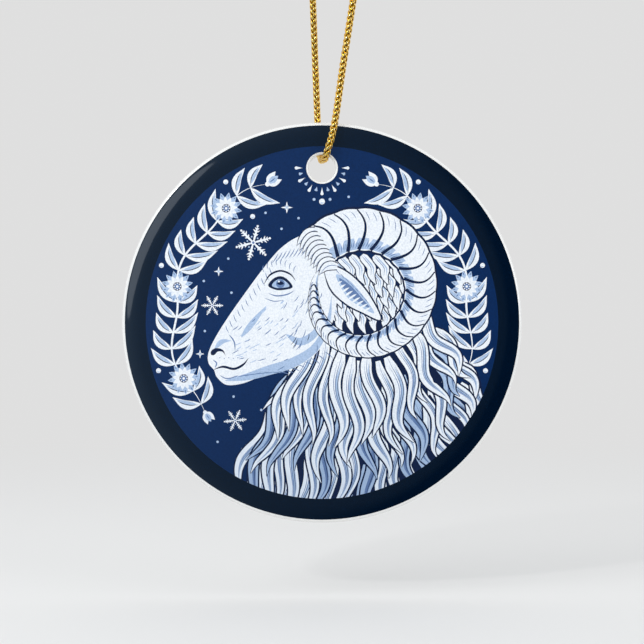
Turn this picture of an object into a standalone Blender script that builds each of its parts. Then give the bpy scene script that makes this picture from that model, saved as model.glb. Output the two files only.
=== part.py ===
"""A flat round ornament of glazed ceramic with a printed face, on a knotted loop of gold cord.

Metres, +Z up. The origin is the crown of the cord's loop, where a branch or a hook bears.
The printed face looks towards -Y and the disc hangs below the origin.
"""

import math

import bmesh
import bpy
from mathutils.geometry import delaunay_2d_cdt

MM = 0.001

# Ceramic disc
DISC_DIAMETER = 74.7 * MM
DISC_THICKNESS = 3.8 * MM
SHOULDER_WIDTH = 2.7 * MM
SHOULDER_DROP = 0.18 * MM
FRONT_EDGE_ROUND = 0.6 * MM
BACK_EDGE_ROUND = 0.8 * MM
DISC_SIDES = 128

# Hanging hole through the disc
HOLE_DIAMETER = 5.0 * MM
HOLE_TO_DISC_EDGE = 8.55 * MM
HOLE_EDGE_ROUND = 0.45 * MM
HOLE_SIDES = 40

# Printed rings on the face
BORDER_WIDTH = 4.5 * MM

# Cord, and the room it keeps from what it runs through
CORD_DIAMETER = 1.3 * MM
CORD_CLEARANCE = 0.15 * MM
CORD_SIDES_SETTING = 2
CORD_STEP = 1.7 * MM

# Knot that closes the loop, and the two tails that stand out of it
KNOT_WIDTH = 4.8 * MM
KNOT_DEPTH = 3.6 * MM
KNOT_HEIGHT = 4.4 * MM
TAIL_LENGTH = 8.5 * MM
TAIL_SPREAD = 2.6 * MM

# Route of the cord's middle, in millimetres from the crown of the loop: the first half runs down
# behind the disc from the knot to the hole, and the second back up in front of it
CORD_ROUTE = [
    (-0.80, 0.10, 5.40),
    (-0.96, 0.20, 4.10),
    (-1.23, 0.30, 2.80),
    (-1.70, 0.40, 1.06),
    (-2.92, 0.50, -0.25),
    (-4.24, 0.58, -1.40),
    (-5.21, 0.66, -3.08),
    (-5.55, 0.75, -5.00),
    (-5.46, 0.90, -8.60),
    (-4.82, 1.55, -21.50),
    (-4.54, 1.90, -27.00),
    (-4.10, 2.60, -38.50),
    (-3.84, 3.00, -45.00),
    (-3.66, 3.35, -49.20),
    (-3.50, 3.68, -52.20),
    (-3.36, 3.78, -53.85),
    (-3.20, 3.35, -55.08),
    (-3.02, 2.35, -55.94),
    (-2.82, 1.20, -56.20),
    (-2.60, 0.00, -56.20),
    (-2.38, -1.20, -56.20),
    (-2.16, -2.35, -55.94),
    (-1.90, -3.35, -55.08),
    (-1.54, -3.78, -53.85),
    (-1.06, -3.68, -52.20),
    (-0.42, -3.35, -49.20),
    (0.20, -3.00, -45.00),
    (1.12, -2.60, -38.50),
    (2.90, -1.90, -27.00),
    (3.64, -1.55, -21.50),
    (5.24, -0.90, -8.60),
    (5.60, -0.75, -5.00),
    (5.28, -0.66, -3.08),
    (4.32, -0.58, -1.40),
    (2.98, -0.50, -0.25),
    (1.74, -0.40, 1.06),
    (1.25, -0.30, 2.80),
    (0.96, -0.20, 4.10),
    (0.80, -0.10, 5.40),
]
HOLE_X = -2.85 * MM

# Drawing units of the printed design across the radius of its field, and the angle under which
# neighbouring faces of one ink are joined
DESIGN_RADIUS = 33.1
FLAT_ANGLE = math.radians(0.1)

CERAMIC, BORDER, FIELD, WHITE, PALE, INK = range(6)
disc_radius = DISC_DIAMETER / 2
half_thickness = DISC_THICKNESS / 2
hole_radius = HOLE_DIAMETER / 2
field_radius = disc_radius - BORDER_WIDTH

# The disc hangs on the lowest point of the cord, by the upper side of its hole
cord_low_z = min(point[2] for point in CORD_ROUTE) * MM
hole_top_z = cord_low_z + CORD_DIAMETER / 2 + CORD_CLEARANCE
hole_z = hole_top_z - hole_radius
disc_z = hole_z - (disc_radius - HOLE_TO_DISC_EDGE)


def clear_scene():
    for thing in list(bpy.data.objects):
        bpy.data.objects.remove(thing, do_unlink=True)


def finish(name, colour, roughness, metallic=0.0, coat=0.0):
    material = bpy.data.materials.new(name)
    material.use_nodes = True
    shader = material.node_tree.nodes["Principled BSDF"]
    shader.inputs["Base Color"].default_value = (*colour, 1.0)
    shader.inputs["Roughness"].default_value = roughness
    shader.inputs["Metallic"].default_value = metallic
    shader.inputs["Coat Weight"].default_value = coat
    material.diffuse_color = (*colour, 1.0)
    return material


def smooth_line(points, steps, closed=False):
    """Points on a smooth curve that runs through the given ones, for points of any dimension."""
    count = len(points)
    line = []
    for i in range(count if closed else count - 1):
        near, far = points[i], points[(i + 1) % count]
        if closed or i > 0:
            before = points[i - 1]
        else:
            before = tuple(2 * n - f for n, f in zip(near, far))
        if closed or i + 2 < count:
            after = points[(i + 2) % count]
        else:
            after = tuple(2 * f - n for n, f in zip(near, far))
        for step in range(steps):
            t = step / steps
            line.append(tuple(
                0.5 * (2 * n + (f - b) * t + (2 * b - 5 * n + 4 * f - a) * t**2
                       + (3 * n - b - 3 * f + a) * t**3)
                for b, n, f, a in zip(before, near, far, after)
            ))
    if not closed:
        line.append(tuple(points[-1]))
    return line


def evenly(line, step):
    """The same line with its points at equal distances of about a step."""
    reach = [0.0]
    for a, b in zip(line, line[1:]):
        reach.append(reach[-1] + math.dist(a, b))
    count = round(reach[-1] / step) + 1
    spaced = []
    span = 0
    for k in range(count):
        goal = reach[-1] * k / (count - 1)
        while span < len(line) - 2 and reach[span + 1] < goal:
            span += 1
        share = (goal - reach[span]) / (reach[span + 1] - reach[span])
        spaced.append(tuple(a + (b - a) * share for a, b in zip(line[span], line[span + 1])))
    return spaced


# Printed design: closed outlines in drawing units from the middle of the disc, each with its ink,
# the later ones over the earlier


def moved(points, dx, dy):
    return [(x + dx, y + dy) for x, y in points]


def turned(points, angle, centre=(0.0, 0.0)):
    c, s = math.cos(angle), math.sin(angle)
    return [(centre[0] + x * c - y * s, centre[1] + x * s + y * c) for x, y in points]


def circle(x, y, radius, sides):
    return [
        (x + radius * math.cos(math.tau * k / sides), y + radius * math.sin(math.tau * k / sides))
        for k in range(sides)
    ]


def outward(outline):
    """The outline taken anticlockwise, as a face of the print is read."""
    turns = sum(a[0] * b[1] - b[0] * a[1] for a, b in zip(outline, outline[1:] + outline[:1]))
    return outline if turns > 0 else outline[::-1]


def stroke(points, half_width, steps=3):
    """A brush stroke along a smooth line; half_width gives its size at each share of the length."""
    line = smooth_line(points, steps)
    last = len(line) - 1
    left, right = [], []
    for i, (x, y) in enumerate(line):
        a, b = line[max(i - 1, 0)], line[min(i + 1, last)]
        run = math.dist(a, b)
        across = ((a[1] - b[1]) / run, (b[0] - a[0]) / run)
        wide = half_width(i / last)
        left.append((x + across[0] * wide, y + across[1] * wide))
        right.append((x - across[0] * wide, y - across[1] * wide))
    return left + right[::-1]


def leaf_width(widest):
    return lambda t: widest * max(math.sin(math.pi * t**0.8), 0.02)


def lock_width(widest):
    return lambda t: widest * max(math.sin(math.pi * min(0.9 * t + 0.18, 1.0)) ** 0.7, 0.02)


def strand_width(widest):
    return lambda t: widest * min(1.0, 0.5 + 3 * t, max(1 - ((t - 0.5) / 0.5) ** 3, 0.02))


def line_width(widest):
    return lambda t: widest * min(1.0, 4 * t + 0.2, 4 * (1 - t) + 0.2)


def ram_head():
    at = (-1.6, 1.0)
    head = [
        (1.5, 15.5), (-2.6, 15.2), (-6.2, 12.9), (-9.2, 9.4), (-12.6, 5.0), (-15.9, 0.4),
        (-18.4, -3.6), (-19.8, -6.6), (-19.6, -8.8), (-18.6, -9.9), (-18.0, -11.4), (-16.2, -12.6),
        (-13.2, -12.0), (-9.6, -10.2), (-6.2, -9.4), (-2.6, -8.4), (1.0, -5.6), (3.4, -1.5),
        (4.5, 4.0), (4.5, 10.0),
    ]
    jaw = [(-15.5, -11.6), (-11.5, -10.2), (-7.5, -8.8), (-3.2, -7.4), (0.6, -4.4), (2.6, 0.0)]
    mouth = [(-18.6, -9.9), (-16.6, -9.2), (-14.4, -9.4), (-12.6, -8.2)]
    nostril = [(-19.0, -7.2), (-17.6, -6.2), (-16.4, -6.8)]
    eye = [(-8.5, 5.9), (-7.4, 7.4), (-5.4, 7.5), (-3.9, 5.7), (-6.2, 5.1)]
    ear = [(2.0, 9.6), (6.4, 8.6), (10.4, 4.2), (12.6, -0.4), (7.6, 1.6), (3.2, 5.4)]
    ear_inside = [(4.2, 7.9), (7.6, 6.4), (11.4, 0.8), (6.6, 3.6)]
    return [
        (smooth_line(moved(head, *at), 3, closed=True), WHITE),
        (stroke(moved(jaw, *at), leaf_width(1.1)), PALE),
        (stroke(moved(nostril, *at), leaf_width(0.6)), INK),
        (stroke(moved(mouth, *at), line_width(0.24)), INK),
        (smooth_line(moved(eye, *at), 2, closed=True), INK),
        (smooth_line(moved(ear, *at), 3, closed=True), WHITE),
        (smooth_line(moved(ear_inside, *at), 3, closed=True), PALE),
    ]


def fleece():
    """The neck, the hair inside the horn, and the long strands in tiers, the lowest tier first."""
    neck = [
        (-4.6, -7.5), (-7.6, -12.0), (-10.4, -19.0), (-12.6, -26.0), (-13.6, -33.0), (2.4, -35.0),
        (20.4, -29.0), (27.0, -19.0), (23.6, -11.0), (20.4, -3.0), (17.4, 4.0), (10.4, 11.0),
        (0.4, 13.0), (-4.6, 5.0),
    ]
    shapes = [(smooth_line(neck, 2, closed=True), INK)]
    for row in range(4):
        for k in range(5):
            x, y = 1.6 + 2.9 * k + 1.4 * (row % 2), 1.6 + 2.9 * row
            curl = [(x - 1.4, y + 2.2), (x + 0.6, y - 0.3), (x + 1.2, y - 3.4)]
            shapes.append((stroke(curl, lock_width(0.95), 2), WHITE))
    top = smooth_line([(-5.2, -6.5), (-1.6, -5.5), (4.4, -9), (11.4, -9.5), (17.4, -4), (20, 2)], 8)
    bottom = smooth_line([(-17.6, -32), (-8.6, -37), (4.4, -38), (16.4, -35), (26.4, -27), (32.4, -13)], 8)
    strands, bends, sway = 13, 5, 1.35
    for tier, start in ((2, 0.46), (1, 0.16), (0, -0.12)):
        for k in range(strands):
            share = (k + 0.5 + 0.3 * (tier % 2)) / (strands + 0.3)
            high = top[round(share * (len(top) - 1))]
            low = bottom[round(share * (len(bottom) - 1))]
            fall = (low[0] - high[0], low[1] - high[1])
            far = math.hypot(*fall)
            points = []
            for i in range(bends + 1):
                t = start + 0.64 * i / bends
                swing = sway * (0.35 + 0.75 * i / bends) * math.sin(math.tau * (1.9 * t + 0.09 * k))
                points.append((high[0] + fall[0] * t - fall[1] / far * swing,
                               high[1] + fall[1] * t + fall[0] / far * swing))
            shapes.append((stroke(points, strand_width(1.6), 2), INK))
            shapes.append((stroke(points, strand_width(1.2), 2), WHITE))
    return shapes


def horn():
    """A full curl that tapers round its own middle, with ridges across it."""
    middle, stations, ridges = (7.0, 5.4), 32, 21
    line, half = [], []
    for i in range(stations + 1):
        t = i / stations
        angle = math.radians(128 - 338 * t)
        radius = 11.6 + 0.9 * math.sin(math.pi * min(2 * t, 1.0)) - 3.6 * t**1.6 + 8 * max(t - 0.9, 0.0)
        line.append((middle[0] + radius * math.cos(angle), middle[1] + radius * math.sin(angle)))
        half.append(3.7 * (1 - t) ** 0.62 * (1 + 0.12 * math.sin(math.pi * min(t / 0.35, 1.0))))

    def on_horn(t, side):
        k = min(int(t * stations), stations - 1)
        share = t * stations - k
        a, b = line[k], line[k + 1]
        run = math.dist(a, b)
        wide = (half[k] + (half[k + 1] - half[k]) * share) * side
        return (
            a[0] + (b[0] - a[0]) * share - (b[1] - a[1]) / run * wide,
            a[1] + (b[1] - a[1]) * share + (b[0] - a[0]) / run * wide,
        )

    shares = [i / stations for i in range(stations + 1)]
    inner = [on_horn(t, -0.99) for t in shares[:-1]]
    shapes = [
        ([on_horn(t, 1.12) for t in shares[:-1]] + [on_horn(t, -1.12) for t in shares[::-1]], INK),
        ([on_horn(t, 1) for t in shares[:-1]] + [on_horn(t, -1) for t in shares[::-1]], WHITE),
        ([on_horn(t, -0.4) for t in shares[:-2]] + inner[::-1], PALE),
    ]
    t = 0.02
    for _ in range(ridges):
        across = [on_horn(t + 0.018 * (1 - side**2), side) for side in (-0.97, -0.5, 0.0, 0.5, 0.97)]
        shapes.append((stroke(across, line_width(0.22), 1), INK))
        t += 0.043 * (1 - t) ** 0.35 + 0.004
    return shapes


def rosette(x, y, radius, petals, ink, heart):
    shapes = []
    for k in range(petals):
        petal = stroke([(0.18 * radius, 0.0), (0.6 * radius, 0.0), (radius, 0.0)],
                       leaf_width(0.2 * radius), 2)
        shapes.append((turned(petal, math.tau * k / petals, (x, y)), ink))
    shapes.append((circle(x, y, 0.3 * radius, 10), heart))
    return shapes


def wreath():
    """A sprig of leaves, flowers and berries up each side of the field."""
    shapes = []
    ring = 28.2
    for side in (1, -1):
        def place(angle, radius):
            turn = math.radians(angle)
            return (side * radius * math.cos(turn), radius * math.sin(turn))

        stem = [place(angle, ring + 0.7 * math.sin(math.radians(angle * 9))) for angle in range(-34, 71, 8)]
        shapes.append((stroke(stem, line_width(0.2), 2), PALE))
        for angle in range(-30, 70, 10):
            for way in (1, -1):
                leaf = [
                    place(angle, ring),
                    place(angle + 5.0, ring + 1.6 * way),
                    place(angle + 7.5, ring + 3.6 * way),
                ]
                shapes.append((stroke(leaf, leaf_width(0.8), 2), WHITE))
        for angle in (-22, 14, 50):
            shapes += rosette(*place(angle, ring), 3.1, 8, PALE, WHITE)
        for angle in (-4, 32, 66):
            shapes.append((circle(*place(angle, ring - 2.6), 0.6, 8), WHITE))
            shapes.append((circle(*place(angle, ring + 2.8), 0.6, 8), WHITE))
    return shapes


def snowflake(x, y, radius):
    shapes = []
    for k in range(6):
        arm = stroke([(0.0, 0.0), (radius, 0.0)], line_width(0.24), 1)
        shapes.append((turned(arm, math.tau * k / 6 + math.pi / 6, (x, y)), WHITE))
        for twist in (-1, 1):
            twig = stroke([(0.0, 0.0), (0.32 * radius, 0.0)], line_width(0.18), 1)
            twig = moved(turned(twig, twist * math.pi / 4), 0.58 * radius, 0.0)
            shapes.append((turned(twig, math.tau * k / 6 + math.pi / 6, (x, y)), WHITE))
    return shapes


def design():
    shapes = wreath() + snowflake(-12.9, 15.0, 3.2)
    for x, y in ((-5.0, 20.4), (3.6, 22.4), (-19.6, 8.0), (-20.6, 13.6), (10.4, 20.2)):
        shapes.append((circle(x, y, 0.45, 8), PALE))
    return shapes + fleece() + ram_head() + horn()


def printed_face(outer, fields):
    """Triangles of the flat face, less its hole, each in the ink that lies uppermost there."""
    outlines = [circle(0.0, disc_z, outer, DISC_SIDES)]
    outlines.append(circle(0.0, hole_z, hole_radius + HOLE_EDGE_ROUND, HOLE_SIDES))
    outlines += [outline for outline, _ in fields]
    inks = [BORDER, None] + [ink for _, ink in fields]
    face_outline, hole_outline, field_outline = range(3)
    points, faces = [], []
    for outline in outlines:
        faces.append(list(range(len(points), len(points) + len(outline))))
        points += outline
    places, _, triangles, _, _, sources = delaunay_2d_cdt(points, [], faces, 1, 1e-7)
    mesh = bmesh.new()
    corners = [mesh.verts.new((x, -half_thickness, z)) for x, z in places]
    for triangle, inside in zip(triangles, sources):
        if hole_outline in inside or face_outline not in inside:
            continue
        face = mesh.faces.new([corners[k] for k in triangle])
        face.material_index = inks[max(inside)] if field_outline in inside else BORDER
    # Faces of one ink are joined in millimetres, as in metres they are too small to have a direction
    bmesh.ops.scale(mesh, verts=mesh.verts[:], vec=(1 / MM, 1 / MM, 1 / MM))
    mesh.normal_update()
    bmesh.ops.dissolve_limit(mesh, angle_limit=FLAT_ANGLE, verts=mesh.verts[:], edges=mesh.edges[:],
                             use_dissolve_boundaries=False, delimit={"MATERIAL"})
    bmesh.ops.triangulate(mesh, faces=mesh.faces[:])
    bmesh.ops.scale(mesh, verts=mesh.verts[:], vec=(MM, MM, MM))
    bmesh.ops.delete(mesh, geom=[v for v in mesh.verts if not v.link_faces], context="VERTS")
    return mesh


def carried(mesh, ring, axis_z, profile):
    """Extrudes a ring of edges from a profile's first point of radius and y through its others."""
    for (radius, _), (next_radius, y) in zip(profile, profile[1:]):
        grown = bmesh.ops.extrude_edge_only(mesh, edges=ring)["geom"]
        corners = {part for part in grown if isinstance(part, bmesh.types.BMVert)}
        ring = [
            part for part in grown
            if isinstance(part, bmesh.types.BMEdge) and corners.issuperset(part.verts)
        ]
        scale = next_radius / radius
        for corner in corners:
            corner.co = (corner.co.x * scale, y, axis_z + (corner.co.z - axis_z) * scale)
    return ring


def rounded(centre_r, centre_y, radius, first, last, steps):
    """An arc in a profile, its angles counted from the outward radius towards +Y."""
    return [
        (
            centre_r + radius * math.cos(first + (last - first) * k / steps),
            centre_y + radius * math.sin(first + (last - first) * k / steps),
        )
        for k in range(steps + 1)
    ]


def disc_edge_profile():
    """From the flat of the printed face over its soft shoulder and round the edge to the back."""
    slope = 2 * math.atan(SHOULDER_DROP / SHOULDER_WIDTH)
    edge_x = disc_radius - FRONT_EDGE_ROUND
    flat_end = edge_x + FRONT_EDGE_ROUND * math.sin(slope) - SHOULDER_WIDTH
    bend = SHOULDER_WIDTH / math.sin(slope)
    shoulder = rounded(flat_end, bend - half_thickness, bend, -math.pi / 2, slope - math.pi / 2, 2)
    front_y = SHOULDER_DROP + FRONT_EDGE_ROUND * math.cos(slope) - half_thickness
    front = rounded(edge_x, front_y, FRONT_EDGE_ROUND, slope - math.pi / 2, 0.0, 4)
    back = rounded(disc_radius - BACK_EDGE_ROUND, half_thickness - BACK_EDGE_ROUND, BACK_EDGE_ROUND,
                   0.0, math.pi / 2, 3)
    return shoulder[:-1] + front + back


def hole_profile():
    """From the printed face round the hole's front edge and along its wall to the back."""
    out = hole_radius + HOLE_EDGE_ROUND
    front = rounded(out, HOLE_EDGE_ROUND - half_thickness, HOLE_EDGE_ROUND, 1.5 * math.pi, math.pi, 3)
    back = rounded(out, half_thickness - HOLE_EDGE_ROUND, HOLE_EDGE_ROUND, math.pi, math.pi / 2, 3)
    return front + back


def build_disc(inks):
    edge = disc_edge_profile()
    flat_end = edge[0][0]
    unit = field_radius / DESIGN_RADIUS
    fields = [(circle(0.0, disc_z, field_radius, DISC_SIDES), FIELD)]
    for outline, ink in design():
        fields.append(([(x * unit, disc_z + y * unit) for x, y in outward(outline)], ink))
    body = printed_face(flat_end, fields)
    rims = [part for part in body.edges if part.is_boundary]
    half_way = (flat_end + math.dist((0.0, disc_z), (0.0, hole_z)) + hole_radius) / 2
    outer = [rim for rim in rims if math.dist((0.0, disc_z), rim.verts[0].co.xz) > half_way]
    inner = [rim for rim in rims if rim not in outer]
    printed = set(body.faces)
    backs = carried(body, outer, disc_z, edge) + carried(body, inner, hole_z, hole_profile())
    bmesh.ops.triangle_fill(body, edges=backs, use_beauty=True)
    printed_to = disc_radius - 0.75 * FRONT_EDGE_ROUND
    for face in body.faces:
        if face not in printed:
            middle = face.calc_center_median()
            far = math.hypot(middle.x, middle.z - disc_z)
            on_shoulder = middle.y < 0 and flat_end < far < printed_to
            face.material_index = BORDER if on_shoulder else CERAMIC
    bmesh.ops.translate(body, verts=body.verts[:], vec=(HOLE_X, 0.0, 0.0))
    bmesh.ops.recalc_face_normals(body, faces=body.faces[:])
    mesh = bpy.data.meshes.new("ceramic_disc")
    body.to_mesh(mesh)
    body.free()
    mesh.shade_smooth()
    mesh.set_sharp_from_angle(angle=math.radians(30))
    for ink in inks:
        mesh.materials.append(ink)
    disc = bpy.data.objects.new("ceramic_disc", mesh)
    bpy.context.collection.objects.link(disc)


def tube(name, points, diameter, material):
    """A solid round cord along a line of points."""
    data = bpy.data.curves.new(name, "CURVE")
    data.dimensions = "3D"
    data.bevel_depth = diameter / 2
    data.bevel_resolution = CORD_SIDES_SETTING
    data.use_fill_caps = True
    line = data.splines.new("POLY")
    line.points.add(len(points) - 1)
    for point, place in zip(line.points, points):
        point.co = (*place, 1.0)
    data.materials.append(material)
    cord = bpy.data.objects.new(name, data)
    bpy.context.collection.objects.link(cord)
    return cord


def build_cord(material):
    route = [tuple(value * MM for value in point) for point in CORD_ROUTE]
    tube("hanging_cord", evenly(smooth_line(route, 12), CORD_STEP), CORD_DIAMETER, material)


def as_mesh(curve):
    bpy.ops.object.select_all(action="DESELECT")
    curve.select_set(True)
    bpy.context.view_layer.objects.active = curve
    bpy.ops.object.convert(target="MESH")
    return bpy.context.object


def join_solids(main, others):
    for other in others:
        union = main.modifiers.new("join", "BOOLEAN")
        union.operation = "UNION"
        union.solver = "EXACT"
        union.object = other
        other.hide_render = True
        other.display_type = "WIRE"


def build_knot(material):
    """The drawn-up knot over both ends of the cord, and the tails that leave its top."""
    cord_end = max(point[2] for point in CORD_ROUTE) * MM
    middle_z = cord_end + CORD_CLEARANCE + KNOT_HEIGHT / 2
    bpy.ops.mesh.primitive_uv_sphere_add(segments=24, ring_count=12, radius=0.5)
    knot = bpy.context.object
    knot.name = "cord_knot"
    for corner in knot.data.vertices:
        corner.co.x *= KNOT_WIDTH
        corner.co.y *= KNOT_DEPTH
        corner.co.z = corner.co.z * KNOT_HEIGHT + middle_z
    knot.data.shade_smooth()
    knot.data.materials.append(material)
    root_z = middle_z + 0.25 * KNOT_HEIGHT
    top_z = middle_z + KNOT_HEIGHT / 2 + TAIL_LENGTH
    tails = []
    for side in (-1, 1):
        bend = [
            (side * CORD_DIAMETER * 0.7, 0.0, root_z),
            (side * (CORD_DIAMETER * 0.7 + 0.25 * TAIL_SPREAD), 0.0, root_z + 0.45 * (top_z - root_z)),
            (side * (CORD_DIAMETER * 0.7 + TAIL_SPREAD), 0.0, top_z),
        ]
        tails.append(as_mesh(tube("tail", smooth_line(bend, 4), CORD_DIAMETER, material)))
    join_solids(knot, tails)


def main():
    clear_scene()
    gold = finish("gold_cord", (0.78, 0.53, 0.16), 0.32, metallic=0.9)
    inks = [
        finish("white_glaze", (0.83, 0.83, 0.80), 0.12, coat=1.0),
        finish("border_navy", (0.012, 0.017, 0.032), 0.25, coat=1.0),
        finish("field_navy", (0.006, 0.022, 0.102), 0.25, coat=1.0),
        finish("print_white", (0.84, 0.87, 0.91), 0.25, coat=1.0),
        finish("print_pale_blue", (0.45, 0.58, 0.77), 0.25, coat=1.0),
        finish("print_ink", (0.008, 0.016, 0.055), 0.25, coat=1.0),
    ]
    build_disc(inks)
    build_cord(gold)
    build_knot(gold)


main()
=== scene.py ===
import math
import random

import bmesh
import bpy
from mathutils import Matrix, Vector
from mathutils.geometry import delaunay_2d_cdt
from mathutils.kdtree import KDTree


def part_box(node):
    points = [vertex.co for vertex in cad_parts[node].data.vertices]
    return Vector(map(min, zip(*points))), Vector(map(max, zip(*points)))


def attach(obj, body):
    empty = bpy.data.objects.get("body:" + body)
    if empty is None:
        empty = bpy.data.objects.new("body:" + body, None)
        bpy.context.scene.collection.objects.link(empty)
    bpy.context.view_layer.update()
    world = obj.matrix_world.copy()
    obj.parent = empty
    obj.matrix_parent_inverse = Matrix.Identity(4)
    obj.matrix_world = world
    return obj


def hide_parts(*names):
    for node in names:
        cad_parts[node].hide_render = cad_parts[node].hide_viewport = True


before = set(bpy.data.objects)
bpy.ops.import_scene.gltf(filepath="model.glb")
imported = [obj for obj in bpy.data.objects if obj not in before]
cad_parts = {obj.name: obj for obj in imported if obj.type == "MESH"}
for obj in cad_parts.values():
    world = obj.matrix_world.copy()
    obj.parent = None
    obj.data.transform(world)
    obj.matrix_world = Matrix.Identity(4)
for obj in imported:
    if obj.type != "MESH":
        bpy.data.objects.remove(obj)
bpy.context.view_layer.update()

MM = 0.001

# Ceramic disc, read from its node
disc_low, disc_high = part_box("ceramic_disc")
disc_radius = (disc_high[0] - disc_low[0]) / 2
disc_x = (disc_high[0] + disc_low[0]) / 2
disc_z = (disc_high[2] + disc_low[2]) / 2
face_y, back_y = disc_low[1], disc_high[1]

SHOULDER_WIDTH = 3.22 * MM
SHOULDER_DROP = 0.256 * MM
SHOULDER_STEPS = 4
FRONT_ROUND = 0.6 * MM
BACK_ROUND = 0.8 * MM
EDGE_STEPS = 6
DISC_SIDES = 192

# How near to its place an edge is picked, and the angle up to which faces are shaded as one
PICK_WITHIN = 0.01 * MM
SMOOTH_UP_TO = math.radians(30)

# Hanging hole
HOLE_RADIUS = 2.5 * MM
HOLE_TO_DISC_EDGE = 8.55 * MM
HOLE_ROUND = 0.45 * MM
HOLE_EDGE_STEPS = 5
HOLE_SIDES = 64
hole_z = disc_z + disc_radius - HOLE_TO_DISC_EDGE

# Print on the face: a dark border round a brighter field, with its layer just proud of the glaze
BORDER_WIDTH = 4.5 * MM
UNPRINTED_EDGE = 0.58 * MM
INK_THICKNESS = 0.04 * MM
field_radius = disc_radius - BORDER_WIDTH

# Drawing units across the radius of the field, how near two points of the drawing are one, and the
# angle up to which faces of one ink are joined
DESIGN_RADIUS = 33.1
ONE_POINT_WITHIN = 1e-5
FLAT_ANGLE = 0.002

# Braided cord
CORD_DIAMETER = 1.3 * MM
BRAID_PITCH = 4.4 * MM
STRANDS_EACH_WAY = 4
STRAND_WIDTH = 0.45 * MM
STRAND_DEPTH = 0.28 * MM
STRAND_WEAVE = 0.11 * MM
STRAND_SIDES = 10
STATIONS_PER_TURN = 24
CORE_DIAMETER = 0.70 * MM
UV_APART = 20.0

# Route of the cord's middle, in millimetres from the crown of the loop: the first half runs down
# behind the disc from the knot to the hole, and the second back up in front of it
CORD_ROUTE = [
    (-0.80, 0.10, 5.40), (-0.96, 0.20, 4.10), (-1.23, 0.30, 2.80), (-1.70, 0.40, 1.06),
    (-2.92, 0.50, -0.25), (-4.24, 0.58, -1.40), (-5.21, 0.66, -3.08), (-5.55, 0.75, -5.00),
    (-5.46, 0.90, -8.60), (-4.82, 1.55, -21.50), (-4.54, 1.90, -27.00), (-4.10, 2.60, -38.50),
    (-3.84, 3.00, -45.00), (-3.66, 3.35, -49.20), (-3.50, 3.68, -52.20), (-3.36, 3.78, -53.85),
    (-3.20, 3.35, -55.08), (-3.02, 2.35, -55.94), (-2.82, 1.20, -56.20), (-2.60, 0.00, -56.20),
    (-2.38, -1.20, -56.20), (-2.16, -2.35, -55.94), (-1.90, -3.35, -55.08), (-1.54, -3.78, -53.85),
    (-1.06, -3.68, -52.20), (-0.42, -3.35, -49.20), (0.20, -3.00, -45.00), (1.12, -2.60, -38.50),
    (2.90, -1.90, -27.00), (3.64, -1.55, -21.50), (5.24, -0.90, -8.60), (5.60, -0.75, -5.00),
    (5.28, -0.66, -3.08), (4.32, -0.58, -1.40), (2.98, -0.50, -0.25), (1.74, -0.40, 1.06),
    (1.25, -0.30, 2.80), (0.96, -0.20, 4.10), (0.80, -0.10, 5.40),
]

# Overhand knot that both ends of the cord make together, in millimetres from its middle, and the
# heights of its middle and of the tails' ends above the crown of the loop. The cord is drawn a
# little thinner in it.
KNOT_ROUTE = [
    (-0.55, 0.30, -1.50), (-1.15, 0.75, -0.40), (-1.05, 0.55, 0.95), (-0.10, -0.15, 1.45),
    (1.10, -0.75, 0.95), (1.35, -0.95, -0.35), (0.35, -1.15, -1.05), (-1.05, -0.75, -0.75),
    (-1.40, 0.10, 0.15), (-0.60, 0.95, 0.60), (0.55, 0.85, 0.35), (0.75, 0.30, 1.20),
    (0.15, 0.00, 2.10),
]
KNOT_CORD_DIAMETER = 0.94 * CORD_DIAMETER
KNOT_PAIR_GAP = 0.95
KNOT_MIDDLE = 7.75
TAIL_ROOT = 0.9
TAIL_TOP = 17.6
TAIL_SPREAD = 2.6
knot_low, knot_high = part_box("cord_knot")


# Lines and outlines


def smooth_line(points, steps, closed=False):
    """Points on a smooth curve that runs through the given ones, for points of any dimension."""
    count = len(points)
    line = []
    for i in range(count if closed else count - 1):
        near, far = points[i], points[(i + 1) % count]
        if closed or i > 0:
            before = points[i - 1]
        else:
            before = tuple(2 * n - f for n, f in zip(near, far))
        if closed or i + 2 < count:
            after = points[(i + 2) % count]
        else:
            after = tuple(2 * f - n for n, f in zip(near, far))
        for step in range(steps):
            t = step / steps
            line.append(tuple(
                0.5 * (2 * n + (f - b) * t + (2 * b - 5 * n + 4 * f - a) * t**2
                       + (3 * n - b - 3 * f + a) * t**3)
                for b, n, f, a in zip(before, near, far, after)
            ))
    if not closed:
        line.append(tuple(points[-1]))
    return line


def evenly(line, count):
    """The same line with its points at equal distances."""
    reach = [0.0]
    for a, b in zip(line, line[1:]):
        reach.append(reach[-1] + math.dist(a, b))
    spaced = []
    span = 0
    for k in range(count):
        goal = reach[-1] * k / (count - 1)
        while span < len(line) - 2 and reach[span + 1] < goal:
            span += 1
        share = (goal - reach[span]) / (reach[span + 1] - reach[span])
        spaced.append(tuple(a + (b - a) * share for a, b in zip(line[span], line[span + 1])))
    return spaced


def length_of(line):
    return sum(math.dist(a, b) for a, b in zip(line, line[1:]))


def moved(points, dx, dy):
    return [(x + dx, y + dy) for x, y in points]


def turned(points, angle, centre=(0.0, 0.0), size=1.0):
    c, s = math.cos(angle) * size, math.sin(angle) * size
    return [(centre[0] + x * c - y * s, centre[1] + x * s + y * c) for x, y in points]


def circle(x, y, radius, sides):
    return [
        (x + radius * math.cos(math.tau * k / sides), y + radius * math.sin(math.tau * k / sides))
        for k in range(sides)
    ]


def arc(x, y, radius, start, end, count):
    """Points on an arc, its angles in degrees."""
    angles = [math.radians(start + (end - start) * k / (count - 1)) for k in range(count)]
    return [(x + radius * math.cos(a), y + radius * math.sin(a)) for a in angles]


def anticlockwise(outline):
    turns = sum(a[0] * b[1] - b[0] * a[1] for a, b in zip(outline, outline[1:] + outline[:1]))
    return outline if turns > 0 else outline[::-1]


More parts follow.
